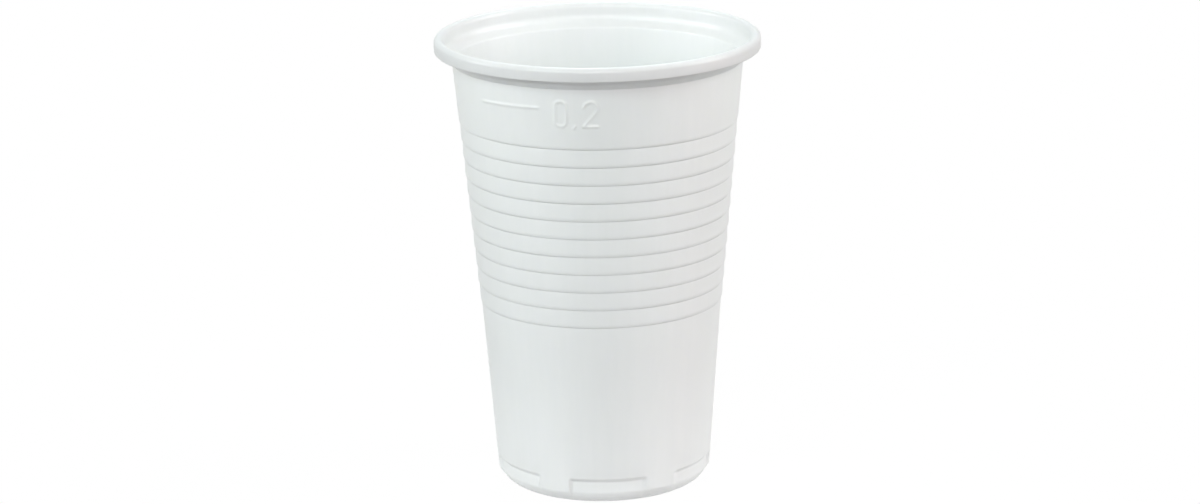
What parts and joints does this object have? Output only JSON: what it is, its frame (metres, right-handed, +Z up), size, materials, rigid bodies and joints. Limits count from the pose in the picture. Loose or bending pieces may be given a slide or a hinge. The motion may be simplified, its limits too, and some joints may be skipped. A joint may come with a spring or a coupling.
{
  "type": "plastic cup",
  "caption": "Tapered thin-walled drinking cup in white plastic, with a rolled rim, an inner collar, stepped rib lines round the grip and a foot with sunk panels.",
  "frame": {"origin": "on the cup's axis, at the plane that it stands on", "axes": "+Z up along the cup's axis, -Y to the front, where the numeral is, +X to the right seen from the front"},
  "size_m": [0.0702, 0.0702, 0.099],
  "materials": {
    "sheet": "semi-gloss white polypropylene, slightly translucent"
  },
  "bodies": {
    "root": {"cup": "sheet"}
  },
  "joints": []
}
